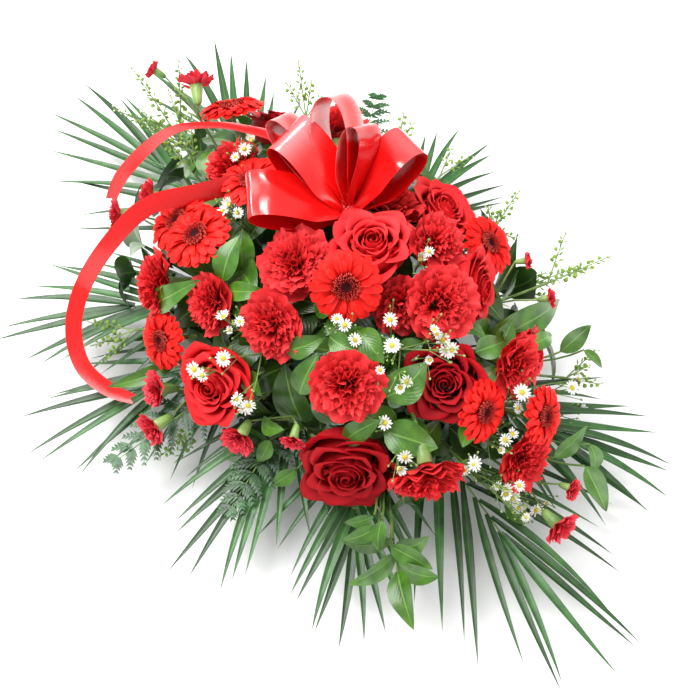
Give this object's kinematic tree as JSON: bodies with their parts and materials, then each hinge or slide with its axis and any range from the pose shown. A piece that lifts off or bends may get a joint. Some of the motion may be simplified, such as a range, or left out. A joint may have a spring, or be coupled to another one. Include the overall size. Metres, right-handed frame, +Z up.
{
  "type": "funeral flower arrangement",
  "caption": "Teardrop funeral spray of red roses, carnations and gerberas over palm fronds and mixed leaves, with a ribbon bow, set in wet foam on a plastic tray.",
  "frame": {"origin": "middle of the tray's underside, on the surface it stands on", "axes": "+X along the spray towards its long tail of fronds, +Z up, +Y across the spray"},
  "size_m": [0.9055, 0.6239, 0.3132],
  "materials": {
    "rose_petal": "velvety dark red petal",
    "carnation_petal": "matt bright red petal",
    "gerbera_petal": "satin red petal",
    "palm_leaf": "satin dark green leaf",
    "fern_leaf": "satin dark green leaf",
    "broad_leaf": "glossy green leaf",
    "daisy_petal": "matt white petal",
    "seed_pod": "matt pale green pod",
    "ribbon": "glossy red ribbon",
    "foam": "fine green foam, wet",
    "tray": "dark green moulded plastic"
  },
  "bodies": {
    "root": {"asters_left": "daisy_petal", "asters_middle": "daisy_petal", "asters_tail": "daisy_petal", "bow": "ribbon", "carnation_back": "carnation_petal", "carnation_back_left": "carnation_petal", "carnation_bow": "carnation_petal", "carnation_crown": "carnation_petal", "carnation_far_left": "carnation_petal", "carnation_front": "carnation_petal", "carnation_left": "carnation_petal", "carnation_left_crown": "carnation_petal", "carnation_middle": "carnation_petal", "carnation_right": "carnation_petal", "carnation_right_pair": "carnation_petal", "carnation_tail": "carnation_petal", "carnation_upper": "carnation_petal", "fern_back": "fern_leaf", "fern_front": "fern_leaf", "fern_front_left": "fern_leaf", "foam_block": "foam", "gerbera_back": "gerbera_petal", "gerbera_bow": "gerbera_petal", "gerbera_left_pair": "gerbera_petal", "gerbera_middle": "gerbera_petal", "gerbera_right": "gerbera_petal", "gerbera_side": "gerbera_petal", "gerbera_tail": "gerbera_petal", "gerbera_upper": "gerbera_petal", "leaves_front": "broad_leaf", "leaves_left": "broad_leaf", "leaves_low_front": "broad_leaf", "leaves_middle": "broad_leaf", "leaves_right": "broad_leaf", "palm_back_left": "palm_leaf", "palm_back_right": "palm_leaf", "palm_far_left": "palm_leaf", "palm_front": "palm_leaf", "palm_front_left": "palm_leaf", "palm_left": "palm_leaf", "palm_low_left": "palm_leaf", "palm_right": "palm_leaf", "palm_tail": "palm_leaf", "rose_back": "rose_petal", "rose_centre": "rose_petal", "rose_front": "rose_petal", "rose_left": "rose_petal", "rose_right": "rose_petal", "rose_tail": "rose_petal", "rose_top": "rose_petal", "rose_upper": "rose_petal", "seed_sprig_back_left": "seed_pod", "seed_sprig_right": "seed_pod", "spray_carnation_front": "carnation_petal", "spray_carnation_left": "carnation_petal", "spray_carnation_low": "carnation_petal", "spray_carnation_right": "carnation_petal", "spray_carnation_tail": "carnation_petal", "spray_carnation_top": "carnation_petal", "spray_tray": "tray"}
  },
  "joints": []
}
